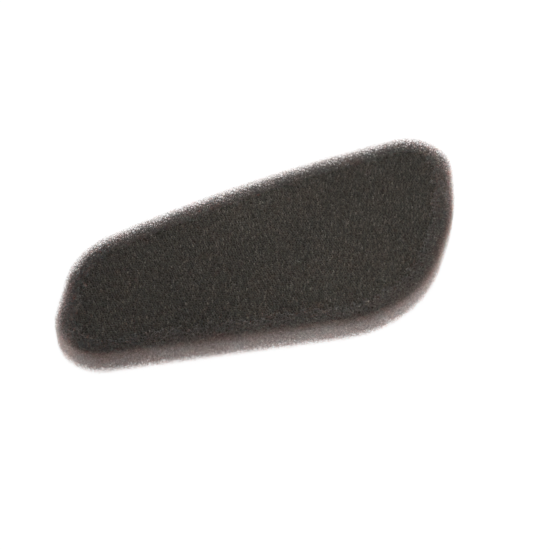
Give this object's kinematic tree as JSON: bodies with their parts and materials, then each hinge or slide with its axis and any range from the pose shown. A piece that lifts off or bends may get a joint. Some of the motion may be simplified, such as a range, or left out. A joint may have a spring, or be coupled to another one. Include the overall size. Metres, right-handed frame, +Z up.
{
  "type": "foam filter pad",
  "caption": "Flat open-cell foam filter pad, charcoal grey, cut square to a wedge-shaped outline with rounded corners.",
  "frame": {"origin": "centre of the outline's bounding box, on the bottom face", "axes": "+X along the pad's length from the narrow end to the wide end, parallel to the chord of the long bowed edge; +Y towards that long bowed edge; +Z up through the thickness"},
  "size_m": [0.2412, 0.1134, 0.015],
  "materials": {
    "foam": "matte"
  },
  "bodies": {
    "root": {"foam_pad": "foam"}
  },
  "joints": []
}
